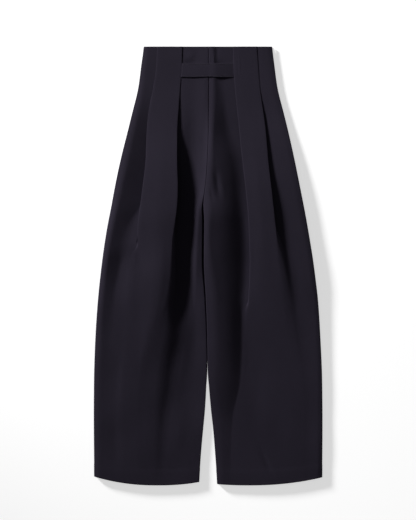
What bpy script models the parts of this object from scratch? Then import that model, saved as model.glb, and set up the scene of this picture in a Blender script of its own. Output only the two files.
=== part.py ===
"""Wide-leg trousers with one deep box pleat on each leg, laid flat with the front up.

The waist points to +Y and the cloth lies on the plane Z = 0. Each front is one long panel. From the
waist to the release point it is folded into a flat band, with a tuck hidden under both of the band's
edges; below it the band rises and the tucks open into long hollows. The backs lie flat underneath,
and a narrow tab crosses the centre front from band to band.
"""

from collections import namedtuple

import bmesh
import bpy
import numpy as np

# Driving dimensions, in millimetres
LENGTH = 1099.0
CLOTH = 1.5
SEAM_GAP = 0.3
TAB_TOP = 42.0
TAB_BOTTOM = 77.0
TAB_THICKNESS = 1.8
TAB_LIFT = 0.4
BAND_CROWN = 0.06
BAND_REST = 8.0
HEM_BEND_FROM = 885.0
HEM_HALF_WIDTH = 160.0

# Rows of each panel: waist to release point, to the crotch, to the thigh's widest fold, to the hem
RELEASE = 165.0
CROTCH = 383.0
SLOT_START = 400.0
THIGH = 600.0
ROWS = np.concatenate(
    [
        np.linspace(0.0, RELEASE, 4),
        np.linspace(RELEASE, CROTCH, 9)[1:],
        np.linspace(SLOT_START, THIGH, 9),
        np.linspace(THIGH, LENGTH, 14)[1:],
    ]
)

MILLIMETRE = 0.001
HALF = CLOTH / 2

# Where the lines of a front run: distances from the centre line to the side, by distance down
Plan = namedtuple("Plan", "down side crest hollow_out fold_out fold_in hollow_in ridge")
RIGHT_PLAN = [
    Plan(0, 161, 152, 126, 126.5, 65.5, 30, 13),
    Plan(50, 168.3, 158, 129, 129.5, 66.5, 28, 12),
    Plan(100, 174.5, 164, 134, 136, 70.5, 28, 12),
    Plan(165, 190, 177, 146, 149, 75.3, 34, 11),
    Plan(210, 201, 187, 149, 153, 78, 38, 11),
    Plan(285, 219.5, 203, 152, 155.5, 78, 48, 12),
    Plan(360, 235, 220, 162, 164, 76, 50, 18),
    Plan(400, 242, 228, 170, 169, 78, 48, 24),
    Plan(435, 249, 235, 180, 174, 82, 47, 26),
    Plan(485, 257.5, 244, 200, 176, 90, 48, 29),
    Plan(535, 264.5, 252, 220, 174, 98, 50, 31),
    Plan(585, 270.5, 258, 230, 172, 104, 48, 32),
    Plan(635, 275.5, 264, 238, 172, 116, 48, 33),
    Plan(735, 282.3, 270, 246, 178, 136, 52, 33),
    Plan(835, 285.7, 273, 250, 196, 150, 74, 36),
    Plan(935, 286.4, 274, 252, 200, 150, 96, 40),
    Plan(1099, 285.4, 274, 250, 200, 150, 104, 46),
]
LEFT_PLAN = [
    Plan(0, 160, 150, 134, 120.8, 63.3, 26, 12),
    Plan(50, 166.5, 156, 138, 125, 63.3, 27, 12),
    Plan(100, 173, 162, 140, 128.7, 67.3, 32, 12),
    Plan(165, 189, 177, 147, 137.6, 73.8, 38, 11),
    Plan(210, 200, 188, 152, 143.3, 78.3, 50, 10),
    Plan(285, 216.5, 204, 164, 149.5, 85.8, 70, 8),
    Plan(360, 231.5, 219, 180, 158, 94.5, 82, 6),
    Plan(435, 246, 234, 190, 164, 100.8, 90, 2),
    Plan(485, 254.5, 243, 200, 168, 103, 92, 1),
    Plan(535, 262.5, 252, 210, 172, 104.5, 94, 0),
    Plan(585, 269, 258, 218, 180, 103.5, 92, 2),
    Plan(635, 275, 266, 232, 190, 100.8, 88, 4),
    Plan(735, 281.3, 272, 246, 205, 96, 84, 8),
    Plan(835, 285.5, 276, 256, 225, 88, 74, 12),
    Plan(935, 286.4, 277, 258, 232, 80, 58, 18),
    Plan(1099, 285.6, 276, 254, 230, 76, 50, 28),
]

# How high the same lines lie, and how far each tuck reaches under the band. A tuck below zero has
# opened: it is the width of the slope beside the band. The swell rounds the slope of the inner hollow.
Rise = namedtuple(
    "Rise", "down side crest hollow_out band hollow_in ridge edge tuck_out tuck_in swell"
)
RIGHT_RISE = [
    Rise(0, 5.8, 6.4, 3.6, 8.0, 3.6, 6.8, 7.2, 26, 26, 0),
    Rise(100, 6.6, 7.2, 3.6, 8.0, 3.6, 7.6, 8.0, 26, 26, 0),
    Rise(135, 7.4, 8.2, 3.6, 9.0, 3.6, 8.4, 9.2, 26, 26, 0),
    Rise(165, 8.6, 9.6, 3.6, 10.8, 3.6, 9.2, 10.2, 25, 26, 0),
    Rise(210, 10.6, 12.0, 5.2, 14.4, 4.2, 11.0, 12.4, 21, 25, 0),
    Rise(285, 13.6, 15.8, 6.4, 21.0, 3.8, 12.6, 15.6, 14, 22, 0),
    Rise(360, 16.6, 19.5, 9.0, 27.0, 3.8, 14.0, 17.4, 6, 17, 0),
    Rise(435, 19.4, 22.8, 13.4, 28.0, 3.4, 14.0, 12.6, 4, 4, 0),
    Rise(485, 22.4, 25.4, 20.6, 27.2, 3.2, 12.4, 11.2, 2, -6, 0),
    Rise(535, 24.0, 27.0, 23.4, 26.4, 3.2, 10.6, 9.8, -38, -14, 0),
    Rise(585, 23.6, 26.8, 24.8, 26.0, 3.2, 9.2, 8.6, -46, -22, 0),
    Rise(635, 22.2, 25.4, 24.6, 25.0, 3.4, 8.4, 8.0, -50, -42, 0),
    Rise(735, 18.6, 21.5, 20.9, 21.3, 4.4, 8.2, 7.8, -50, -72, 0),
    Rise(835, 15.2, 17.6, 17.2, 17.6, 7.4, 8.8, 8.2, -40, -66, 0),
    Rise(935, 12.2, 14.3, 14.0, 14.2, 9.4, 9.6, 8.8, -40, -48, 0),
    Rise(1099, 9.2, 11.3, 11.1, 11.8, 10.2, 9.8, 8.2, -40, -36, 0),
]
LEFT_RISE = [
    Rise(0, 5.8, 6.4, 3.6, 8.0, 3.6, 6.9, 6.9, 25, 25, 0),
    Rise(100, 6.4, 6.9, 3.6, 8.0, 3.6, 7.8, 7.8, 25, 25, 0.2),
    Rise(135, 7.0, 7.5, 3.6, 8.2, 3.6, 8.8, 8.8, 25, 25, 0.3),
    Rise(165, 8.0, 8.6, 3.6, 9.6, 3.6, 9.9, 9.8, 25, 25, 0.4),
    Rise(210, 9.6, 10.2, 7.6, 12.7, 3.8, 12.2, 11.8, 24, 23, 0.8),
    Rise(285, 13.0, 13.9, 13.3, 18.5, 3.2, 15.4, 15.0, 18, 18, 1.2),
    Rise(360, 15.0, 16.2, 15.4, 23.0, 3.2, 18.4, 16.8, 11, 12, 1.4),
    Rise(435, 14.4, 15.6, 14.4, 25.0, 3.2, 26.2, 24.8, 4, 6, 2.6),
    Rise(485, 14.8, 16.0, 15.0, 24.8, 3.2, 27.2, 25.8, -10, 4, 2.8),
    Rise(535, 15.0, 16.2, 15.2, 22.6, 3.2, 27.4, 26.0, -24, 3, 2.8),
    Rise(585, 14.6, 15.8, 14.9, 19.4, 3.4, 27.0, 25.6, -28, 3, 2.4),
    Rise(635, 13.2, 14.3, 13.4, 15.8, 4.8, 26.0, 24.6, -34, 2, 1.8),
    Rise(735, 9.6, 10.6, 9.9, 10.4, 9.3, 22.8, 21.4, -30, -10, 1.2),
    Rise(835, 9.6, 10.5, 10.1, 10.5, 10.1, 18.4, 17.2, -24, -13, 0.8),
    Rise(935, 9.6, 10.6, 10.2, 10.6, 10.3, 14.4, 13.4, -18, -16, 0.4),
    Rise(1099, 8.8, 10.6, 10.4, 10.8, 10.2, 10.8, 9.2, -18, -18, 0.2),
]

# The centre front seam down to the crotch, then the middle of the slot between the legs, measured
# to the wearer's left; the half gap is half of the open width there
Centre = namedtuple("Centre", "down seam half_gap")
CENTRE = [
    Centre(0, 0.8, SEAM_GAP / 2),
    Centre(210, 0.8, SEAM_GAP / 2),
    Centre(285, -1.8, SEAM_GAP / 2),
    Centre(360, -8.0, SEAM_GAP / 2),
    Centre(CROTCH, -12.0, SEAM_GAP / 2),
    Centre(SLOT_START, -14.2, 2.2),
    Centre(435, -12.0, 2.4),
    Centre(535, -13.0, 2.3),
    Centre(635, -6.8, 1.4),
    Centre(735, -3.0, 0.9),
    Centre(800, -2.0, 0.9),
    Centre(845, -1.5, 3.0),
    Centre(905, -0.6, 7.1),
    Centre(965, 0.0, 13.0),
    Centre(1025, -0.2, 17.9),
    Centre(1099, 0.0, 22.8),
]

# The band's folded edges: pressed tight at the waist and rounder below, and how high the tuck's
# lowest layer may lie where it is pressed
Folding = namedtuple("Folding", "down radius pressed")
FOLDING = [
    Folding(0, 1.0, 3.2),
    Folding(RELEASE, 1.0, 3.2),
    Folding(210, 1.2, 4.4),
    Folding(285, 1.5, 12.0),
    Folding(435, 2.0, 40.0),
    Folding(LENGTH, 2.0, 40.0),
]

# A leg's own values: which way it lies from the centre, and where and how far its hem curves up
Leg = namedtuple("Leg", "direction plan rise hem_lowest hem_rise")
LEGS = {
    "right": Leg(-1, RIGHT_PLAN, RIGHT_RISE, 125.0, 22.0),
    "left": Leg(1, LEFT_PLAN, LEFT_RISE, 100.0, 14.5),
}


def between_rows(table, down):
    """Reads every column of a table at any distance down, smoothly and never past its rows."""
    kind = type(table[0])
    grid = np.array(table, float)
    downs = grid[:, 0]
    steps = np.diff(downs)[:, None]
    slopes = np.diff(grid, axis=0) / steps
    turning = slopes[:-1] * slopes[1:] <= 0
    safe = np.where(turning, 1.0, slopes[:-1] * slopes[1:])
    near = 2 * steps[1:] + steps[:-1]
    far = steps[1:] + 2 * steps[:-1]
    mean = (near + far) * safe / np.where(turning, 1.0, near * slopes[1:] + far * slopes[:-1])
    tangents = np.vstack([slopes[:1], np.where(turning, 0.0, mean), slopes[-1:]])
    row = int(np.clip(np.searchsorted(downs, down, side="right") - 1, 0, len(downs) - 2))
    step = steps[row]
    t = (down - downs[row]) / step
    start = (1 + 2 * t) * (1 - t) ** 2 * grid[row] + t * (1 - t) ** 2 * step * tangents[row]
    end = t**2 * (3 - 2 * t) * grid[row + 1] + t**2 * (t - 1) * step * tangents[row + 1]
    return kind(*(start + end))


def edge_towards_centre(leg, down):
    """How far the panel's inner edge is from the centre line: the centre seam, then the inseam."""
    centre = between_rows(CENTRE, down)
    return leg.direction * centre.seam + centre.half_gap


def folded_side(fold, towards, band, hollow, tuck, folding):
    """The four corners of one tuck, from the hollow's floor under the band to the band's edge.

    towards is the direction from the hollow to the band, and tuck is how far the fold reaches under it.
    """
    floor = min(hollow, folding.pressed)
    drop = band - floor
    opened = float(np.clip((2 - tuck) / 8, 0, 1))
    turn = (1 - opened) * 2 * min(folding.radius, drop / 4) + opened * drop * 0.22
    deep = fold + towards * tuck
    return [
        (deep, floor),
        (deep - towards * opened * tuck * 0.14, floor + turn),
        (fold + towards * opened * tuck * 0.5, band - turn),
        (fold, band),
    ]


def front_corners(leg, down):
    """Corners of the front's middle surface across the leg, from the side seam to the centre."""
    plan = between_rows(leg.plan, down)
    rise = between_rows(leg.rise, down)
    folding = between_rows(FOLDING, down)
    side = plan.side - HALF
    edge = edge_towards_centre(leg, down) + HALF
    foot = CLOTH + SEAM_GAP
    crown = rise.band + BAND_CROWN * (rise.band - BAND_REST)
    outer = folded_side(plan.fold_out, -1, rise.band, rise.hollow_out, rise.tuck_out, folding)
    inner = folded_side(plan.fold_in, 1, rise.band, rise.hollow_in, rise.tuck_in, folding)
    return [
        (side, foot),
        (side, rise.side),
        (plan.crest, rise.crest),
        (plan.hollow_out, rise.hollow_out),
        *outer,
        ((plan.fold_out + plan.fold_in) / 2, crown),
        *reversed(inner),
        (plan.hollow_in, rise.hollow_in),
        ((plan.hollow_in + plan.ridge) / 2, (rise.hollow_in + rise.ridge) / 2 + rise.swell),
        (plan.ridge, rise.ridge),
        (edge, rise.edge),
        (edge, foot),
    ]


def back_corners(leg, down):
    """The two ends of the back's middle surface across the leg: it lies flat on the ground."""
    side = between_rows(leg.plan, down).side
    return [(side, HALF), (edge_towards_centre(leg, down), HALF)]


def rounded(corners, samples=(0.2, 0.8)):
    """Rounds every corner with a circular arc, and returns the path's points and its upward normals."""
    corners = np.array(corners, float)
    runs = np.diff(corners, axis=0)
    lengths = np.linalg.norm(runs, axis=1)
    ways = runs / lengths[:, None]
    points = [corners[0]]
    tangents = [ways[0]]
    for i in range(1, len(corners) - 1):
        trim = 0.49 * min(lengths[i - 1], lengths[i])
        start = corners[i] - trim * ways[i - 1]
        end = corners[i] + trim * ways[i]
        weight = np.sqrt(max(0.0, (1 + ways[i - 1] @ ways[i]) / 2))
        for t in samples:
            pulls = np.array([(1 - t) ** 2, 2 * weight * t * (1 - t), t**2])
            pull_rates = np.array([-2 * (1 - t), 2 * weight * (1 - 2 * t), 2 * t])
            above = pulls @ (start, corners[i], end)
            above_rate = pull_rates @ (start, corners[i], end)
            tangent = above_rate * pulls.sum() - above * pull_rates.sum()
            points.append(above / pulls.sum())
            tangents.append(tangent / np.linalg.norm(tangent))
    points.append(corners[-1])
    tangents.append(ways[-1])
    tangents = np.array(tangents)
    return np.array(points), np.column_stack([tangents[:, 1], -tangents[:, 0]])


def hem_lift(leg, across, down):
    """How far the hem's curve lifts a point of a row towards the waist."""
    bend = max(0.0, (down - HEM_BEND_FROM) / (LENGTH - HEM_BEND_FROM)) ** 1.5
    return bend * leg.hem_rise * (np.abs(across - leg.hem_lowest) / HEM_HALF_WIDTH) ** 2.2


def panel_ring(leg, corners, down):
    """One closed ring round a strip of cloth of a panel, as points in space."""
    middle, normals = rounded(corners)
    across = np.concatenate([middle + HALF * normals, (middle - HALF * normals)[::-1]])
    along = np.concatenate([middle, middle[::-1]])[:, 0]
    y = LENGTH / 2 - down + hem_lift(leg, along, down)
    return np.column_stack([leg.direction * across[:, 0], y, across[:, 1]])


def add_cloth(name, rings, material, parent):
    """Joins the rings into one closed wall of cloth, with its two cut ends filled.

    Both faces of the cloth are split along the same diagonals, so that the wall keeps its thickness.
    """
    shape = bmesh.new()
    rows = [[shape.verts.new(point * MILLIMETRE) for point in ring] for ring in rings]
    count = len(rows[0])
    for row, following in zip(rows, rows[1:]):
        for i in range(count):
            j = (i + 1) % count
            corners = [row[i], row[j], following[j], following[i]]
            if i >= count // 2:
                corners = corners[1:] + corners[:1]
            shape.faces.new(corners[:3])
            shape.faces.new((corners[2], corners[3], corners[0]))
    for row in (rows[0], rows[-1]):
        for i in range(count // 2 - 1):
            shape.faces.new((row[i], row[i + 1], row[-2 - i], row[-1 - i]))
    bmesh.ops.recalc_face_normals(shape, faces=shape.faces)
    mesh = bpy.data.meshes.new(name)
    shape.to_mesh(mesh)
    shape.free()
    mesh.shade_smooth()
    mesh.set_sharp_from_angle(angle=np.radians(40))
    mesh.materials.append(material)
    piece = bpy.data.objects.new(name, mesh)
    piece.parent = parent
    bpy.context.scene.collection.objects.link(piece)
    return piece


def make_cloth_material(name, colour):
    """Dark wool-like crepe."""
    material = bpy.data.materials.new(name)
    material.use_nodes = True
    shader = material.node_tree.nodes["Principled BSDF"]
    shader.inputs["Base Color"].default_value = (*colour, 1.0)
    shader.inputs["Roughness"].default_value = 0.9
    shader.inputs["Metallic"].default_value = 0.0
    return material


def tab_ring(down):
    """One ring of the tab: taut over the centre front, its ends against the bands' inner edges."""
    right = LEGS["right"]
    left = LEGS["left"]
    lift = HALF + TAB_LIFT + TAB_THICKNESS / 2
    end_gap = HALF + SEAM_GAP
    right_plan = between_rows(right.plan, down)
    right_rise = between_rows(right.rise, down)
    left_plan = between_rows(left.plan, down)
    left_rise = between_rows(left.rise, down)
    seam = between_rows(CENTRE, down).seam
    middle, normals = rounded(
        [
            (end_gap - right_plan.fold_in, right_rise.hollow_in + lift),
            (-right_plan.ridge, right_rise.ridge + lift),
            (seam, right_rise.edge + lift),
            (left_plan.ridge, left_rise.ridge + lift),
            (left_plan.fold_in - end_gap, left_rise.hollow_in + lift),
        ]
    )
    reach = TAB_THICKNESS / 2 * normals
    across = np.concatenate([middle - reach, (middle + reach)[::-1]])
    return np.column_stack([across[:, 0], np.full(len(across), LENGTH / 2 - down), across[:, 1]])


# The trousers
for old in list(bpy.data.objects):
    bpy.data.objects.remove(old, do_unlink=True)

trousers = bpy.data.objects.new("trousers", None)
bpy.context.scene.collection.objects.link(trousers)

front_cloth = make_cloth_material("front_cloth", (0.027, 0.023, 0.036))
back_cloth = make_cloth_material("back_cloth", (0.025, 0.021, 0.034))
tab_cloth = make_cloth_material("tab_cloth", (0.028, 0.024, 0.037))

for side, leg in LEGS.items():
    front = [panel_ring(leg, front_corners(leg, down), down) for down in ROWS]
    add_cloth(f"front_{side}", front, front_cloth, trousers)
    back = [panel_ring(leg, back_corners(leg, down), down) for down in ROWS]
    add_cloth(f"back_{side}", back, back_cloth, trousers)

tab_rows = np.linspace(TAB_TOP, TAB_BOTTOM, 3)
add_cloth("front_tab", [tab_ring(down) for down in tab_rows], tab_cloth, trousers)
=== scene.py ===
from collections import namedtuple
import math

import bpy
import numpy as np
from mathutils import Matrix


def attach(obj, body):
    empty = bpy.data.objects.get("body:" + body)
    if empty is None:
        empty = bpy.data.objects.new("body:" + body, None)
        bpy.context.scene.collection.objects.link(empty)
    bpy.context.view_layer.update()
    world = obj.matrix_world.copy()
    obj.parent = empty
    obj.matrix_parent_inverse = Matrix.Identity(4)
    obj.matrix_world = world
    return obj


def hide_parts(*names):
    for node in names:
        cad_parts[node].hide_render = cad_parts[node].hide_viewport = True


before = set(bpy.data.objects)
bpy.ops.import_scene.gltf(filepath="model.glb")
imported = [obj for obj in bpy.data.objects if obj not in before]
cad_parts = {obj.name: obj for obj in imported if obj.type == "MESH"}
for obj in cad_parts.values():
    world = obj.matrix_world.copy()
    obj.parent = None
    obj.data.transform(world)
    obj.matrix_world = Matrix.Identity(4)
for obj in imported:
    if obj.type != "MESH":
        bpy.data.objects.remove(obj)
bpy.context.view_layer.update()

scene = bpy.context.scene


# The two fronts. Each is one long panel of dark, dense crepe, cut from the waist to the hem. At the
# waist it is folded into a flat band with a tuck hidden under both edges, and sewn down for 165 mm;
# below that the band rises off the leg and its tucks open into long hollows.

# The cloth's sizes are in millimetres, and MM makes metres of them
MM = 0.001
LENGTH = 1099.0
HALF_CLOTH = 0.5
RELEASE = 165.0

# Where the lines of a front run: distance down, then distances from the centre line to the side
Plan = namedtuple("Plan", "down side crest hollow_out fold_out fold_in hollow_in ridge")
RIGHT_PLAN = [
    Plan(0, 161, 152, 126, 126.5, 65.5, 50, 8),
    Plan(50, 168.3, 158, 129, 129.5, 66.5, 56, 8),
    Plan(100, 174.5, 164, 134, 136, 70.5, 61, 8),
    Plan(165, 190, 177, 146, 149, 75.3, 62, 9),
    Plan(210, 201, 187, 149, 153, 78, 66, 10),
    Plan(285, 219.5, 203, 152, 155.5, 78, 54, 12),
    Plan(360, 235, 220, 162, 164, 76, 50, 18),
    Plan(400, 242, 228, 170, 169, 78, 48, 24),
    Plan(435, 249, 236, 190, 174, 82, 46, 26),
    Plan(485, 257.5, 245, 205, 176, 88, 47, 29),
    Plan(535, 264.5, 253, 218, 172, 90, 48, 31),
    Plan(585, 270.5, 259, 228, 172, 94, 47, 32),
    Plan(635, 275.5, 264, 238, 172, 102, 50, 33),
    Plan(735, 282.3, 270, 246, 178, 134, 54, 33),
    Plan(835, 285.7, 273, 250, 196, 149, 71, 38),
    Plan(935, 286.4, 274, 252, 200, 150, 89, 44),
    Plan(1099, 285.4, 274, 250, 200, 150, 104, 50),
]
LEFT_PLAN = [
    Plan(0, 160, 150, 134, 120.8, 63.3, 28, 13),
    Plan(50, 166.5, 156, 138, 125, 63.3, 32, 14),
    Plan(100, 173, 162, 140, 128.7, 67.3, 36, 15),
    Plan(165, 189, 177, 147, 137.6, 73.8, 43, 13),
    Plan(210, 200, 188, 152, 143.3, 78.3, 50, 11),
    Plan(285, 216.5, 204, 164, 149.5, 85.8, 74, 9),
    Plan(360, 231.5, 219, 180, 158, 94.5, 82, 6),
    Plan(435, 246, 234, 192, 166, 100.8, 85, 2),
    Plan(485, 254.5, 243, 202, 172, 103, 88, 1),
    Plan(535, 262.5, 252, 214, 177, 104.5, 89, 4),
    Plan(585, 269, 258, 222, 184, 103.5, 88, 12),
    Plan(635, 275, 266, 232, 190, 101, 83, 17),
    Plan(735, 281.3, 272, 246, 205, 104, 83, 20),
    Plan(835, 285.5, 276, 256, 225, 100, 80, 22),
    Plan(935, 286.4, 277, 258, 232, 84, 60, 27),
    Plan(1099, 285.6, 276, 254, 230, 76, 54, 34),
]

# How high the same lines lie, and how far each tuck reaches under the band. A tuck below zero has
# opened: it is the width of the slope beside the band. The swell rounds the slope of the inner hollow,
# the lean is how much lower the outer edge of the band lies than its inner part, and the roll is how
# far the band's inner edge curls down.
Rise = namedtuple(
    "Rise",
    "down side crest hollow_out band hollow_in ridge edge tuck_out tuck_in swell lean roll",
)
RIGHT_RISE = [
    Rise(0, 6.6, 7.8, 7.6, 8.0, 6.8, 7.2, 7.5, 26, 26, -0.3, 0, 0),
    Rise(100, 7.4, 8.8, 7.6, 8.3, 7.8, 8.8, 8.7, 26, 26, -0.9, 0, 0),
    Rise(135, 8.2, 9.8, 7.5, 9.2, 7.8, 9.4, 9.4, 26, 26, -1, 0, 0),
    Rise(165, 9, 10.6, 7, 10.4, 7.6, 9.6, 10.2, 25, 26, -1.7, 0, 0),
    Rise(210, 10.6, 12.0, 5.8, 13.1, 8.4, 9.4, 11.6, 21, 25, -3, 0, 0),
    Rise(285, 13.6, 15.8, 6.4, 19.8, 4, 9.6, 12.8, 14, 22, -1.9, 0, 0),
    Rise(360, 16.6, 19.5, 9.0, 25.8, 3.6, 8.8, 12.2, 6, 17, -1.5, 1.0, 0),
    Rise(435, 20.4, 23.8, 13.4, 28.8, 3.4, 14.0, 12.6, 4, 4, 0, 3.2, 1),
    Rise(485, 23.4, 26.6, 18.8, 28.2, 3.2, 12.4, 11.2, 2, -6, 0, 6.2, 2),
    Rise(500, 23.8, 26.9, 20.7, 27.8, 3.2, 11.8, 10.8, 0, -9, 0, 6.4, 2.4),
    Rise(514, 23.9, 27.0, 20.8, 27.4, 3.2, 11.4, 10.4, -14, -11, 0, 6.2, 2.7),
    Rise(535, 23.9, 26.8, 20.4, 26.8, 3.2, 10.6, 9.8, -34, -14, 0, 5.4, 3),
    Rise(585, 22.8, 25.6, 21, 26.0, 3.2, 8.2, 7.8, -46, -22, 0, 3.2, 3),
    Rise(635, 21.6, 24.4, 21.6, 25.0, 3.4, 6.9, 6.8, -50, -26, 0, 2, 2.4),
    Rise(735, 18.6, 21.3, 19.9, 21.3, 6.2, 4.2, 4.8, -50, -74, -0.3, 0.6, 0.6),
    Rise(835, 14.6, 16.8, 16.3, 18.8, 7.2, 5, 5.3, -40, -70, -0.5, 0, 0.6),
    Rise(935, 12.2, 14, 13.6, 14.8, 9.4, 7.9, 7.8, -40, -50, -0.3, 0, 0),
    Rise(1099, 9.2, 11.3, 11.2, 11.4, 11, 10.5, 9.0, -40, -36, 0, 0, 0),
]
LEFT_RISE = [
    Rise(0, 5.8, 7, 7.3, 8.0, 6.7, 8.0, 7.3, 25, 25, -1.2, 0, 0.5),
    Rise(100, 7, 7.9, 7.8, 8.2, 6, 9.4, 8.0, 25, 25, -0.6, 0, 0.5),
    Rise(135, 7.4, 8.2, 7.8, 8.8, 5.3, 10.1, 8.7, 25, 25, -0.4, 0, 0.4),
    Rise(165, 8.0, 8.6, 7.4, 9.8, 4.6, 11.2, 9.7, 25, 25, -0.2, 0, 0),
    Rise(210, 9.6, 10.2, 9.4, 12.7, 3.2, 13.4, 11.7, 24, 23, 0, 0, 0),
    Rise(285, 13.0, 13.9, 13.3, 18.5, 3.2, 17.0, 15.0, 18, 18, 2.2, 0, 0),
    Rise(360, 15.0, 16.2, 16, 23.0, 3, 17.8, 16.2, 11, 12, 4, -1, 0),
    Rise(435, 15.2, 16.6, 16, 24.2, 3, 26.2, 24.8, 4, 6, 4, -1.6, 0),
    Rise(485, 15.8, 17.2, 16.7, 23.4, 4, 27.2, 25.8, -10, 4, 4.2, -2.8, 0.6),
    Rise(535, 15.7, 17.2, 16.7, 21.2, 5.4, 29, 27.6, -24, 3, 3.8, -3.2, 1),
    Rise(585, 15.2, 16.6, 16, 17.6, 7.8, 30.2, 28.8, -28, 3, 3.2, -3.4, 1.3),
    Rise(610, 14.3, 15.4, 15.2, 15.7, 9.6, 30.2, 28.8, -31, 3, 3.2, -3.2, 1),
    Rise(635, 13.4, 14.5, 14.2, 14.1, 11.4, 29.8, 28.4, -34, 3, 3.2, -3, 0.4),
    Rise(660, 12.6, 13.6, 13.1, 13.1, 12.2, 28.8, 27.4, -33, -13, 3.4, -2.4, 0),
    Rise(735, 10.6, 11.6, 11.0, 11.8, 11.9, 25.4, 23.4, -30, -14, 3.2, -0.6, 0),
    Rise(835, 9.8, 10.8, 10.4, 10.8, 11.2, 20.8, 19.6, -24, -14, 2, 0, 0),
    Rise(935, 9.6, 10.6, 10.3, 10.6, 10.5, 13.4, 12.4, -18, -20, 0.4, 0, 0),
    Rise(1099, 8.8, 10.6, 10.5, 10.7, 10.5, 10.6, 9.2, -18, -18, 0, 0, 0),
]

# The centre front seam down to the crotch at 383, then the middle of the slot between the legs,
# measured to the wearer's left; the half gap is half of the open width there
Centre = namedtuple("Centre", "down seam half_gap")
CENTRE = [
    Centre(0, 0.8, 0.15),
    Centre(210, 0.8, 0.15),
    Centre(285, -1.8, 0.15),
    Centre(360, -8.0, 0.15),
    Centre(383, -12.0, 0.15),
    Centre(400, -14.2, 2.2),
    Centre(435, -12.0, 2.4),
    Centre(535, -13.0, 2.3),
    Centre(635, -6.8, 1.4),
    Centre(735, -3.0, 0.9),
    Centre(800, -2.0, 0.9),
    Centre(845, -1.5, 3.0),
    Centre(905, -0.6, 7.1),
    Centre(965, 0.0, 13.0),
    Centre(1025, -0.2, 17.9),
    Centre(1099, 0.0, 22.8),
]

# The band's folded edges: pressed tight at the waist and rounder below, and how high the tuck's
# lowest layer may lie where it is pressed
Folding = namedtuple("Folding", "down radius pressed")
FOLDING = [
    Folding(0, 0.1, 6.7),
    Folding(100, 0.1, 6.9),
    Folding(RELEASE, 0.1, 6.8),
    Folding(210, 0.2, 8.0),
    Folding(285, 0.3, 12.0),
    Folding(435, 0.4, 40.0),
    Folding(1099, 0.8, 40.0),
]

# The creases that lie across these folds: from one point to another, as distance down and distance
# from the centre line, with how wide each is and how far it lifts the cloth
Crease = namedtuple("Crease", "down across end_down end_across width lift")
RIGHT_CREASES = [
    Crease(44, 22, 40, 66, 7, -1.1),
    Crease(14, 30, 30, 58, 8, 0.5),
    Crease(470, 212, 700, 236, 20, -0.9),
    Crease(560, 36, 780, 30, 12, -1.0),
    Crease(700, 150, 1000, 176, 26, -0.8),
    Crease(860, 62, 1060, 84, 18, 0.8),
    Crease(905, 236, 1085, 228, 15, -0.6),
]
LEFT_CREASES = [
    Crease(300, 16, 392, 30, 6, -1.6),
    Crease(322, 31, 384, 40, 5, 0.5),
    Crease(352, 4, 396, 14, 4, -0.8),
    Crease(40, 18, 44, 58, 6, -0.8),
    Crease(24, 3, 42, 3.5, 1.6, 0.5),
    Crease(24, 14, 42, 14.5, 1.6, 0.5),
    Crease(10, 69, 90, 72, 2.2, 0.35),
    Crease(8, 77, 80, 79.5, 2.2, 0.3),
    Crease(520, 224, 720, 214, 20, -0.8),
    Crease(760, 130, 1010, 112, 24, -0.8),
    Crease(990, 124, 1088, 164, 6, -0.9),
    Crease(840, 200, 1050, 214, 22, 0.7),
]

# A leg's own values: which way it lies from the centre, where and how far its hem curves up
Leg = namedtuple("Leg", "direction plan rise creases hem_lowest hem_rise")
LEGS = {
    "right": Leg(-1, RIGHT_PLAN, RIGHT_RISE, RIGHT_CREASES, 125.0, 22.0),
    "left": Leg(1, LEFT_PLAN, LEFT_RISE, LEFT_CREASES, 100.0, 14.5),
}


def between_rows(table, downs):
    """Reads every column of a table at many distances down, smoothly and never past its rows."""
    kind = type(table[0])
    grid = np.array(table, float)
    known = grid[:, 0]
    steps = np.diff(known)[:, None]
    slopes = np.diff(grid, axis=0) / steps
    turning = slopes[:-1] * slopes[1:] <= 0
    safe = np.where(turning, 1.0, slopes[:-1] * slopes[1:])
    near = 2 * steps[1:] + steps[:-1]
    far = steps[1:] + 2 * steps[:-1]
    mean = (near + far) * safe / np.where(turning, 1.0, near * slopes[1:] + far * slopes[:-1])
    tangents = np.vstack([slopes[:1], np.where(turning, 0.0, mean), slopes[-1:]])
    row = np.clip(np.searchsorted(known, downs, side="right") - 1, 0, len(known) - 2)
    step = steps[row]
    t = (downs[:, None] - known[row, None]) / step
    start = (1 + 2 * t) * (1 - t) ** 2 * grid[row] + t * (1 - t) ** 2 * step * tangents[row]
    end = t**2 * (3 - 2 * t) * grid[row + 1] + t**2 * (t - 1) * step * tangents[row + 1]
    return kind(*(start + end).T)


def edge_towards_centre(leg, downs):
    """How far the panel's inner edge is from the centre line: the centre seam, then the inseam."""
    centre = between_rows(CENTRE, downs)
    return leg.direction * centre.seam + centre.half_gap


# A tuck opens as its reach under the band falls below this, over so many millimetres; the slope that
# it leaves beside the band bends at these shares of its own width and height
OPENS_BELOW = 2.0
OPENS_OVER = 8.0
SLOPE_FLOOR = 0.06
SLOPE_BEND = 0.22
SLOPE_TOP = 0.44


def folded_side(fold, towards, band, hollow, tuck, folding):
    """The four corners of one tuck, from the hollow's floor under the band to the band's edge."""
    floor = np.minimum(hollow, folding.pressed)
    drop = band - floor
    radius = np.minimum(folding.radius, drop / 4)
    opened = np.clip((OPENS_BELOW - tuck) / OPENS_OVER, 0, 1)
    turn = (1 - opened) * 2 * radius + opened * drop * SLOPE_BEND
    deep = fold + towards * tuck
    return [
        (deep, floor + SLOPE_FLOOR * opened * drop),
        (deep - towards * opened * tuck * SLOPE_BEND, floor + turn),
        (fold + towards * opened * tuck * SLOPE_TOP, band - turn),
        (fold, band),
    ]


# The panel's lower edges, and how its side seam and its centre edge turn down to them
FOOT = 2.7
SIDE_TURN = 0.7
SIDE_BEND = 0.75
EDGE_TURN = 1.6

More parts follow.
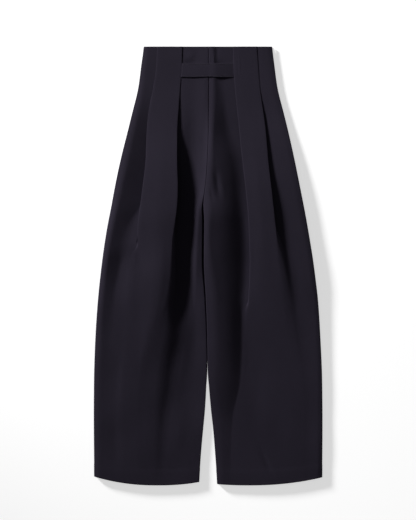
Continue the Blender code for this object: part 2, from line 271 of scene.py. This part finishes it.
# The band's crown, as a share of how far it has risen from its height at the waist, and its bend
# beside the inner edge, as shares of its width and of that crown
BAND_REST = 8.0
BAND_CROWN = 0.06
SHOULDER = 0.3
SHOULDER_RISE = 0.6


def front_corners(leg, downs):
    """Corners of the front's middle surface across the leg, from the side seam to the centre."""
    plan = between_rows(leg.plan, downs)
    rise = between_rows(leg.rise, downs)
    folding = between_rows(FOLDING, downs)
    side = plan.side - HALF_CLOTH
    edge = edge_towards_centre(leg, downs) + HALF_CLOTH
    foot = np.full(len(downs), FOOT)
    crown = rise.band - rise.lean / 2 + BAND_CROWN * (rise.band - BAND_REST)
    outer_band = rise.band - rise.lean
    outer = folded_side(plan.fold_out, -1, outer_band, rise.hollow_out, rise.tuck_out, folding)
    inner_band = rise.band - rise.roll
    inner = folded_side(plan.fold_in, 1, inner_band, rise.hollow_in, rise.tuck_in, folding)
    shoulder = (1 - SHOULDER) * plan.fold_in + SHOULDER * plan.fold_out
    shoulder_rise = (1 - SHOULDER_RISE) * rise.band + SHOULDER_RISE * crown
    corners = [
        (side - SIDE_TURN, foot),
        (side, (1 - SIDE_BEND) * foot + SIDE_BEND * rise.side),
        (side, rise.side),
        (plan.crest, rise.crest),
        (plan.hollow_out, rise.hollow_out),
        *outer,
        ((plan.fold_out + plan.fold_in) / 2, crown),
        (shoulder, shoulder_rise),
        *reversed(inner),
        (plan.hollow_in, rise.hollow_in),
        ((plan.hollow_in + plan.ridge) / 2, (rise.hollow_in + rise.ridge) / 2 + rise.swell),
        (plan.ridge, rise.ridge),
        (edge, rise.edge),
        (edge, rise.edge - EDGE_TURN),
        (edge, foot),
    ]
    return np.array(corners).transpose(2, 0, 1)


def eased_down(rows, spread):
    """Evens out how the lines run down the leg, as thick cloth does, and keeps both ends."""
    reach = int(3 * spread)
    weights = np.exp(-0.5 * (np.arange(-reach, reach + 1) / spread) ** 2)
    weights /= weights.sum()
    before = 2 * rows[:1] - rows[reach:0:-1]
    after = 2 * rows[-1:] - rows[-2:-reach - 2:-1]
    padded = np.concatenate([before, rows, after])
    return sum(w * padded[i:i + len(rows)] for i, w in enumerate(weights))


# The most of a straight stretch that the arc at either end of it takes
ARC_SHARE = 0.49


def rounded(corners, bends=7, straights=4):
    """Rounds the corners of every row with circular arcs, and spaces points along the whole line."""
    runs = np.diff(corners, axis=1)
    lengths = np.linalg.norm(runs, axis=2, keepdims=True)
    ways = runs / lengths
    trims = ARC_SHARE * np.minimum(lengths[:, :-1], lengths[:, 1:])
    starts = corners[:, 1:-1] - trims * ways[:, :-1]
    ends = corners[:, 1:-1] + trims * ways[:, 1:]
    turns = (ways[:, :-1] * ways[:, 1:]).sum(axis=2, keepdims=True)
    weights = np.sqrt(np.clip((1 + turns) / 2, 0, None))
    line = []
    here = corners[:, 0]
    for i in range(corners.shape[1] - 2):
        for t in np.arange(straights) / straights:
            line.append(here + t * (starts[:, i] - here))
        for t in np.arange(bends) / bends:
            pull = 2 * weights[:, i] * t * (1 - t)
            above = (1 - t) ** 2 * starts[:, i] + pull * corners[:, i + 1] + t**2 * ends[:, i]
            line.append(above / ((1 - t) ** 2 + pull + t**2))
        here = ends[:, i]
    for t in np.arange(straights + 1) / straights:
        line.append(here + t * (corners[:, -1] - here))
    return np.stack(line, axis=1)


# The waves of the resting cloth: how high they are, how far down they start and how long they take to
# grow, and a long and a short wave's lengths down and across
WAVE_LIFT = 0.22
WAVE_PHASE = 0.9
WAVES_FROM = 200.0
WAVES_GROW = 250.0
LONG_WAVE = (37.0, 61.0)
SHORT_WAVE = (23.0, 47.0)


def lie_of_cloth(leg, across, downs):
    """How far the creases, and the slow waves of the resting cloth, lift each point."""
    lift = np.zeros(across.shape)
    for crease in leg.creases:
        start = np.array([crease.down, crease.across])
        along = np.array([crease.end_down, crease.end_across]) - start
        length = np.linalg.norm(along)
        way = along / length
        reach = ((downs - start[0]) * way[0] + (across - start[1]) * way[1]) / length
        apart = (across - start[1]) * way[0] - (downs - start[0]) * way[1]
        fade = np.sin(np.pi * np.clip(reach, 0, 1)) ** 1.5
        lift += crease.lift * fade * np.exp(-((apart / crease.width) ** 2))
    phase = WAVE_PHASE * leg.direction
    long_waves = np.sin(downs / LONG_WAVE[0] + across / LONG_WAVE[1] + phase)
    short_waves = np.sin(downs / SHORT_WAVE[0] - across / SHORT_WAVE[1] + 2 * phase)
    grown = np.clip((downs - WAVES_FROM) / WAVES_GROW, 0, 1)
    return lift + WAVE_LIFT * grown * (long_waves + short_waves)


# The hem's curve: where the rows start to bend to it, and how fast it steepens away from its lowest
# point, over half of the leg's width
HEM_BEND_FROM = 885.0
HEM_BEND_POWER = 1.5
HEM_HALF_WIDTH = 160.0
HEM_CURVE_POWER = 2.2


def hem_lift(leg, across, downs):
    """How far the hem's curve lifts a point of a row towards the waist."""
    bend = np.clip((downs - HEM_BEND_FROM) / (LENGTH - HEM_BEND_FROM), 0, 1) ** HEM_BEND_POWER
    away = np.abs(across - leg.hem_lowest) / HEM_HALF_WIDTH
    return bend * leg.hem_rise * away**HEM_CURVE_POWER


ROWS = 218
RIM_DEPTH = 4.0


def panel_rows(count):
    """Distances down of a panel's rows: even, and close together at its two rounded ends."""
    rim = np.array([0.0, 0.15, 0.45, 0.9, 1.8])
    even = np.linspace(RIM_DEPTH, LENGTH - RIM_DEPTH, count)
    return np.concatenate([rim, even, LENGTH - rim[::-1]])


# The hem is turned up and sewn blind, so the cloth is thicker there; the step to it is a soft one.
# The outer three columns at each edge thin out to the shares below, which rounds that edge off.
HALF_HEM = 0.85
HEM_DEPTH = 38.0
HEM_STEP = 4.0
THINNEST = 0.02
EDGE_SHARES = (0.3, 0.7, 0.93)


def wall_halves(downs, columns):
    """Half of the cloth's thickness: more at the turned-up hem, and rounded off at every edge."""
    from_hem = LENGTH - downs
    hem = np.clip((HEM_DEPTH - from_hem) / HEM_STEP + 0.5, 0, 1)
    half = HALF_CLOTH + (HALF_HEM - HALF_CLOTH) * hem * hem * (3 - 2 * hem)
    to_end = np.clip(np.minimum(downs, from_hem), THINNEST, half)
    half = np.sqrt(half**2 - (half - to_end) ** 2)
    across = np.ones(columns)
    across[:3] = EDGE_SHARES
    across[-3:] = EDGE_SHARES[::-1]
    return half[:, None] * across


def cloth_wall(name, middle, halves, outward, material):
    """Makes one closed wall of cloth round a grid of points, given in millimetres."""
    down_way = np.gradient(middle, axis=0)
    across_way = np.gradient(middle, axis=1)
    normals = outward * np.cross(down_way, across_way)
    normals /= np.linalg.norm(normals, axis=2, keepdims=True)
    reach = halves[:, :, None] * normals
    rows, columns = middle.shape[:2]
    points = np.concatenate([(middle + reach).reshape(-1, 3), (middle - reach).reshape(-1, 3)])
    index = np.arange(rows * columns).reshape(rows, columns)
    under = index + rows * columns
    quads = [
        np.stack([index[:-1, :-1], index[1:, :-1], index[1:, 1:], index[:-1, 1:]], axis=2),
        np.stack([under[:-1, :-1], under[:-1, 1:], under[1:, 1:], under[1:, :-1]], axis=2),
        np.stack([index[:-1, -1], index[1:, -1], under[1:, -1], under[:-1, -1]], axis=1),
        np.stack([index[1:, 0], index[:-1, 0], under[:-1, 0], under[1:, 0]], axis=1),
        np.stack([index[0, :-1], index[0, 1:], under[0, 1:], under[0, :-1]], axis=1),
        np.stack([index[-1, 1:], index[-1, :-1], under[-1, :-1], under[-1, 1:]], axis=1),
    ]
    faces = np.concatenate([part.reshape(-1, 4) for part in quads])
    if outward < 0:
        faces = faces[:, ::-1]
    mesh = bpy.data.meshes.new(name)
    mesh.from_pydata((points * MM).tolist(), [], faces.tolist())
    mesh.shade_smooth()
    mesh.materials.append(material)
    piece = bpy.data.objects.new(name, mesh)
    scene.collection.objects.link(piece)
    return piece


def add_node(material, kind, x, y, **settings):
    """Adds one shader node to a material, with its place in the editor and its settings."""
    node = material.node_tree.nodes.new(kind)
    node.location = (x, y)
    for key, value in settings.items():
        if key in node.inputs:
            node.inputs[key].default_value = value
        else:
            setattr(node, key, value)
    return node


def crepe(name, dark, light):
    """Dense matte crepe: a fine pebbled yarn over a twill, a little uneven in tone."""
    material = bpy.data.materials.new(name)
    material.use_nodes = True
    link = material.node_tree.links.new
    shader = material.node_tree.nodes["Principled BSDF"]
    shader.inputs["Specular IOR Level"].default_value = 0.1
    place = add_node(material, "ShaderNodeTexCoord", -1300, 0)
    tone = add_node(material, "ShaderNodeTexNoise", -1000, 300, Scale=9.0, Detail=4.0)
    yarn = add_node(material, "ShaderNodeTexNoise", -1000, 0, Scale=1500.0, Detail=2.0)
    slope = add_node(material, "ShaderNodeMapping", -1150, -300)
    slope.inputs["Rotation"].default_value = (0.0, 0.0, math.radians(58))
    twill = add_node(material, "ShaderNodeTexWave", -1000, -300, Scale=320.0, Distortion=1.5)
    mixed = add_node(material, "ShaderNodeMix", -750, 150, Factor=0.35)
    ramp = add_node(material, "ShaderNodeValToRGB", -550, 250)
    ramp.color_ramp.elements[0].position = 0.3
    ramp.color_ramp.elements[0].color = (*dark, 1)
    ramp.color_ramp.elements[1].position = 0.7
    ramp.color_ramp.elements[1].color = (*light, 1)
    rough = add_node(material, "ShaderNodeMapRange", -550, 0)
    rough.inputs["To Min"].default_value = 0.84
    rough.inputs["To Max"].default_value = 0.96
    weave = add_node(material, "ShaderNodeMath", -550, -250, operation="MULTIPLY_ADD")
    weave.inputs[1].default_value = 0.5
    bump = add_node(material, "ShaderNodeBump", -300, -250, Strength=0.35, Distance=0.00025)
    for texture in (tone, yarn, slope):
        link(place.outputs["Object"], texture.inputs["Vector"])
    link(slope.outputs["Vector"], twill.inputs["Vector"])
    link(tone.outputs["Fac"], mixed.inputs["A"])
    link(yarn.outputs["Fac"], mixed.inputs["B"])
    link(mixed.outputs["Result"], ramp.inputs["Fac"])
    link(ramp.outputs["Color"], shader.inputs["Base Color"])
    link(yarn.outputs["Fac"], rough.inputs["Value"])
    link(rough.outputs["Result"], shader.inputs["Roughness"])
    link(twill.outputs["Fac"], weave.inputs[0])
    link(yarn.outputs["Fac"], weave.inputs[2])
    link(weave.outputs["Value"], bump.inputs["Height"])
    link(bump.outputs["Normal"], shader.inputs["Normal"])
    return material


# Over how many rows the folds are eased, and how high above the foot the creases have their full lift
EASED_ROWS = 2.41
CREASE_FADE = 3.0

front_crepe = crepe("front_crepe", dark=(0.0253, 0.0213, 0.0339), light=(0.0297, 0.0250, 0.0397))
rows_down = panel_rows(ROWS)
for side, leg in LEGS.items():
    corners = eased_down(front_corners(leg, rows_down), EASED_ROWS)
    line = rounded(corners)
    across = line[:, :, 0]
    downs = np.repeat(rows_down[:, None], across.shape[1], axis=1)
    free = np.clip((line[:, :, 1] - FOOT) / CREASE_FADE, 0, 1)
    height = line[:, :, 1] + free * lie_of_cloth(leg, across, downs)
    length_along = LENGTH / 2 - downs + hem_lift(leg, across, downs)
    middle = np.stack([leg.direction * across, length_along, height], axis=2)
    halves = wall_halves(rows_down, across.shape[1])
    front = cloth_wall(f"front_{side}_cloth", middle, halves, leg.direction, front_crepe)
    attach(front, "root")
    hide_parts(f"front_{side}")


# The two backs. Each is one plain panel of the same crepe, sewn to its front at the side and along
# the inseam. It lies flat on the surface, eased up by a few soft creases and rolled up at its seams.

# How wide and how high the seams roll, how far a crease may lift the cloth, how near the edges it
# lies flat, and from where the two backs part so that the slot between the legs is open
SEAM_ROLL = 1.5
ROLL_LIFT = 1.4
BACK_LIFT = 1.1
FLAT_AT_EDGE = 25.0
BACK_TO_SEAM = 0.02
SLOT_OPENS_FROM = 780.0
SLOT_OPENS_OVER = 70.0
BACK_CREASES = [
    Crease(210, 60, 420, 96, 14, 1.0),
    Crease(330, 150, 560, 182, 18, 0.9),
    Crease(470, 40, 690, 70, 12, 0.8),
    Crease(620, 200, 880, 226, 20, 1.0),
    Crease(760, 96, 1010, 128, 16, 0.7),
    Crease(905, 60, 1070, 74, 10, 0.6),
]

back_crepe = crepe("back_crepe", dark=(0.0235, 0.0198, 0.0315), light=(0.0275, 0.0232, 0.0369))
near_side = np.array([0, 0.004, 0.009, 0.016])
near_seam = np.array([0.984, 0.991, 0.996, 1])
spread = np.concatenate([near_side, np.linspace(0.03, 0.97, 56), near_seam])
for side, leg in LEGS.items():
    outer = between_rows(leg.plan, rows_down).side - HALF_CLOTH
    slot = between_rows(CENTRE, rows_down)
    parted = np.clip((rows_down - SLOT_OPENS_FROM) / SLOT_OPENS_OVER, 0, 1)
    inner = leg.direction * slot.seam + BACK_TO_SEAM + parted * slot.half_gap
    across = outer[:, None] + (inner - outer)[:, None] * spread
    downs = np.repeat(rows_down[:, None], len(spread), axis=1)
    to_edge = np.minimum(np.abs(across - outer[:, None]), np.abs(across - inner[:, None]))
    roll = ROLL_LIFT * np.clip(1 - to_edge / SEAM_ROLL, 0, 1) ** 2
    creased = lie_of_cloth(leg._replace(creases=BACK_CREASES), across, downs)
    eased = np.clip(creased, 0, BACK_LIFT) * np.clip(to_edge / FLAT_AT_EDGE, 0, 1)
    thick = wall_halves(rows_down, len(spread))
    height = thick.max(axis=1)[:, None].clip(HALF_CLOTH) + roll + eased
    length_along = LENGTH / 2 - downs + hem_lift(leg, across, downs)
    middle = np.stack([leg.direction * across, length_along, height], axis=2)
    back = cloth_wall(f"back_{side}_cloth", middle, thick, leg.direction, back_crepe)
    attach(back, "root")
    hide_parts(f"back_{side}")


# The tab: a narrow strap of doubled crepe, caught in the pleats at both ends and drawn taut over the
# centre front. Its edges are turned in, pressed, and sewn down with a row of stitches along each.
TAB_TOP = 42.0
TAB_DEPTH = 35.0
TAB_HALF = 0.7
TAB_LIFT = 0.1
TAB_POINTS = 90

# How far each end reaches under the band's edge, and how much lower the left one lies; where the tab
# bends over the swell on each side of the centre; and where, and how far, its lower edge hangs
RIGHT_END_UNDER = 0.55
LEFT_END_UNDER = 0.6
LEFT_END_DROP = 0.7
RIGHT_BEND = 9.0
LEFT_BEND = 16.0
TAB_SAG = 1.0
SAG_AT = 2.0
SAG_WIDTH = 18.0

# The rows of stitches, and the furrow that they draw into the cloth
STITCH_FROM_EDGE = 2.4
STITCH_LENGTH = 2.6
STITCH_GAP = 0.5
FIRST_STITCH = 1.5
LAST_STITCH_BEFORE = 4.0
FURROW_DEPTH = 0.35
FURROW_WIDTH = 0.7

tab_crepe = crepe("tab_crepe", dark=(0.0258, 0.0218, 0.0346), light=(0.0303, 0.0256, 0.0405))


def tab_line(down, points):
    """The tab's middle line across the centre front at one distance down, from right to left."""
    downs = np.array([down])
    right_plan = between_rows(RIGHT_PLAN, downs)
    right_rise = between_rows(RIGHT_RISE, downs)
    left_plan = between_rows(LEFT_PLAN, downs)
    left_rise = between_rows(LEFT_RISE, downs)
    seam = between_rows(CENTRE, downs).seam[0]
    lift = HALF_CLOTH + TAB_LIFT + TAB_HALF
    corners = [
        (RIGHT_END_UNDER - right_plan.fold_in[0], right_rise.hollow_in[0] + lift),
        (-RIGHT_BEND, right_rise.ridge[0] + lift),
        (seam, right_rise.edge[0] + lift),
        (LEFT_BEND, left_rise.ridge[0] + lift),
        (left_plan.fold_in[0] + LEFT_END_UNDER, left_rise.hollow_in[0] + lift - LEFT_END_DROP),
    ]
    line = rounded(np.array([corners]), bends=10, straights=12)[0]
    lengths = np.concatenate([[0], np.cumsum(np.linalg.norm(np.diff(line, axis=0), axis=1))])
    even = np.linspace(0, lengths[-1], points)
    return np.column_stack([np.interp(even, lengths, line[:, i]) for i in (0, 1)])


tab_rim = np.array([0, 0.15, 0.45, 0.9, 1.6])
tab_downs = np.concatenate([tab_rim, np.linspace(3, TAB_DEPTH - 3, 13), TAB_DEPTH - tab_rim[::-1]])
tab_rows = []
for depth in tab_downs:
    line = tab_line(TAB_TOP + depth, TAB_POINTS)
    slack = TAB_SAG * (depth / TAB_DEPTH) ** 2 * np.exp(-(((line[:, 0] - SAG_AT) / SAG_WIDTH) ** 2))
    from_stitches = min(depth, TAB_DEPTH - depth) - STITCH_FROM_EDGE
    furrow = -FURROW_DEPTH * np.exp(-(from_stitches / FURROW_WIDTH) ** 2)
    along = LENGTH / 2 - TAB_TOP - depth + slack
    tab_rows.append(np.column_stack([line[:, 0], along, line[:, 1] + furrow]))
tab_middle = np.array(tab_rows)
to_end = np.clip(np.minimum(tab_downs, TAB_DEPTH - tab_downs), THINNEST, TAB_HALF)
tab_halves = np.sqrt(TAB_HALF**2 - (TAB_HALF - to_end) ** 2)[:, None] * np.ones(TAB_POINTS)
tab = cloth_wall("front_tab_cloth", tab_middle, tab_halves, 1, tab_crepe)


# One stitch of thread, as rings along it: how far along each is, how thick, and how far it stands up
STITCH_RADIUS = 0.28
STITCH_SIDES = 6
STITCH_LIFT = 0.08
Ring = namedtuple("Ring", "along size lift")
STITCH_RINGS = [
    Ring(0, 0.45, -0.3),
    Ring(0.15, 1, -0.05),
    Ring(0.5, 1, 0.05),
    Ring(0.85, 1, -0.05),
    Ring(1, 0.45, -0.3),
]


def stitch(points, faces, start, end):
    """Adds one stitch of thread: a short six-sided capsule whose ends dip into the cloth."""
    way = (end - start) / np.linalg.norm(end - start)
    side = np.cross(way, (0, 0, 1))
    up = np.cross(side, way)
    first = len(points)
    for ring in STITCH_RINGS:
        centre = start + ring.along * (end - start) + ring.lift * up
        for angle in np.arange(STITCH_SIDES) * math.tau / STITCH_SIDES:
            reach = STITCH_RADIUS * ring.size * (math.cos(angle) * side + math.sin(angle) * up)
            points.append(centre + reach)
    last = len(points) - STITCH_SIDES
    for ring_start in range(first, last, STITCH_SIDES):
        for i in range(STITCH_SIDES):
            a = ring_start + i
            b = ring_start + (i + 1) % STITCH_SIDES
            faces.append((a, b, b + STITCH_SIDES, a + STITCH_SIDES))
    faces.append(tuple(range(first + STITCH_SIDES - 1, first - 1, -1)))
    faces.append(tuple(range(last, last + STITCH_SIDES)))


stitch_points = []
stitch_faces = []
for depth in (STITCH_FROM_EDGE, TAB_DEPTH - STITCH_FROM_EDGE):
    row = int(np.argmin(np.abs(tab_downs - depth)))
    path = tab_middle[row].copy()
    path[:, 1] += tab_downs[row] - depth
    path[:, 2] += TAB_HALF + STITCH_LIFT
    lengths = np.concatenate([[0], np.cumsum(np.linalg.norm(np.diff(path, axis=0), axis=1))])
    stop = lengths[-1] - LAST_STITCH_BEFORE
    for begin in np.arange(FIRST_STITCH, stop, STITCH_LENGTH + STITCH_GAP):
        ends = [
            np.array([np.interp(at, lengths, path[:, i]) for i in range(3)])
            for at in (begin, begin + STITCH_LENGTH)
        ]
        stitch(stitch_points, stitch_faces, *ends)

thread = bpy.data.materials.new("dark_thread")
thread.use_nodes = True
thread_shader = thread.node_tree.nodes["Principled BSDF"]
thread_shader.inputs["Roughness"].default_value = 0.62
thread_ply = add_node(thread, "ShaderNodeTexNoise", -700, 0, Scale=2600.0, Detail=2.0)
thread_tone = add_node(thread, "ShaderNodeValToRGB", -450, 0)
thread_tone.color_ramp.elements[0].color = (0.018, 0.016, 0.024, 1)
thread_tone.color_ramp.elements[1].color = (0.028, 0.025, 0.036, 1)
thread_place = add_node(thread, "ShaderNodeTexCoord", -900, 0)
thread.node_tree.links.new(thread_place.outputs["Object"], thread_ply.inputs["Vector"])
thread.node_tree.links.new(thread_ply.outputs["Fac"], thread_tone.inputs["Fac"])
thread.node_tree.links.new(thread_tone.outputs["Color"], thread_shader.inputs["Base Color"])

stitch_mesh = bpy.data.meshes.new("tab_stitches")
stitch_mesh.from_pydata((np.array(stitch_points) * MM).tolist(), [], stitch_faces)
stitch_mesh.shade_smooth()
stitch_mesh.materials.append(thread)
tab_stitches = bpy.data.objects.new("tab_stitches", stitch_mesh)
scene.collection.objects.link(tab_stitches)
for piece in (tab, tab_stitches):
    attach(piece, "root")
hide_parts("front_tab")


# The floor: a plain white surface that the trousers lie on. It glows a little, as a lit light table
# does, so that the shadow beside the cloth stays pale. Sizes are in metres from here on.
FLOOR_HALF = 6.0
FLOOR_DROP = 0.0004

floor_paint = bpy.data.materials.new("white_surface")
floor_paint.use_nodes = True
floor_shader = floor_paint.node_tree.nodes["Principled BSDF"]
floor_shader.inputs["Roughness"].default_value = 0.9
floor_shader.inputs["Specular IOR Level"].default_value = 0.1
floor_shader.inputs["Emission Strength"].default_value = 0.6
floor_shader.inputs["Emission Color"].default_value = (1, 1, 1, 1)
floor_grain = add_node(floor_paint, "ShaderNodeTexNoise", -700, 0, Scale=3.0, Detail=2.0)
floor_tone = add_node(floor_paint, "ShaderNodeValToRGB", -450, 0)
floor_tone.color_ramp.elements[0].color = (0.88, 0.88, 0.88, 1)
floor_tone.color_ramp.elements[1].color = (0.92, 0.92, 0.92, 1)
floor_paint.node_tree.links.new(floor_grain.outputs["Fac"], floor_tone.inputs["Fac"])
floor_paint.node_tree.links.new(floor_tone.outputs["Color"], floor_shader.inputs["Base Color"])

floor_mesh = bpy.data.meshes.new("floor")
floor_corners = [(FLOOR_HALF * x, FLOOR_HALF * y, 0) for x, y in ((-1, -1), (1, -1), (1, 1), (-1, 1))]
floor_mesh.from_pydata(floor_corners, [], [(0, 1, 2, 3)])
floor_mesh.materials.append(floor_paint)
floor = bpy.data.objects.new("floor", floor_mesh)
floor.location = (0, 0, -FLOOR_DROP)
scene.collection.objects.link(floor)


# The light: one large soft lamp from the waist end, to the left of the picture and rather low, so
# that it rakes over the folds, with a dim even fill from the room and paler light along the horizon.
KEY_ELEVATION = math.radians(16)
KEY_AZIMUTH = math.radians(35)
KEY_DISTANCE = 6.0
KEY_TARGET = (0.0, 0.46, 0.0)
KEY_POWER = 2700.0
KEY_RADIUS = 0.5
KEY_CONE = math.radians(34)

lamp = bpy.data.lights.new("key_lamp", "SPOT")
lamp.energy = KEY_POWER
lamp.shadow_soft_size = KEY_RADIUS
lamp.spot_size = KEY_CONE
lamp.spot_blend = 1.0
key = bpy.data.objects.new("key_lamp", lamp)
key_way = (
    -math.cos(KEY_ELEVATION) * math.cos(KEY_AZIMUTH),
    math.cos(KEY_ELEVATION) * math.sin(KEY_AZIMUTH),
    math.sin(KEY_ELEVATION),
)
key.location = [KEY_TARGET[i] + KEY_DISTANCE * key_way[i] for i in range(3)]
aim = bpy.data.objects.new("key_aim", None)
aim.location = KEY_TARGET
follow = key.constraints.new("TRACK_TO")
follow.target = aim
follow.track_axis = "TRACK_NEGATIVE_Z"
follow.up_axis = "UP_Y"
scene.collection.objects.link(key)
scene.collection.objects.link(aim)

room = bpy.data.worlds.new("room")
room.use_nodes = True
scene.world = room
room_nodes = room.node_tree.nodes
room_place = room_nodes.new("ShaderNodeTexCoord")
room_split = room_nodes.new("ShaderNodeSeparateXYZ")
room_ramp = room_nodes.new("ShaderNodeValToRGB")
room_ramp.color_ramp.elements[0].position = 0.1
room_ramp.color_ramp.elements[0].color = (0.36, 0.36, 0.37, 1)
room_ramp.color_ramp.elements[1].position = 0.22
room_ramp.color_ramp.elements[1].color = (0.08, 0.08, 0.08, 1)
room.node_tree.links.new(room_place.outputs["Generated"], room_split.inputs["Vector"])
room.node_tree.links.new(room_split.outputs["Z"], room_ramp.inputs["Fac"])
room.node_tree.links.new(room_ramp.outputs["Color"], room_nodes["Background"].inputs["Color"])


# The camera looks straight down from well above the middle, with the waist at the top of the picture.
# A long lens, from far off, keeps the legs nearly free of perspective.
FOCAL_LENGTH = 100.0
FILM_WIDTH = 36.0
CAMERA_PLACE = (-0.0005, 0.01475, 3.626)

lens = bpy.data.cameras.new("camera")
lens.lens = FOCAL_LENGTH
lens.sensor_width = FILM_WIDTH
camera = bpy.data.objects.new("camera", lens)
camera.location = CAMERA_PLACE
scene.collection.objects.link(camera)
scene.camera = camera
scene.view_settings.view_transform = "Standard"
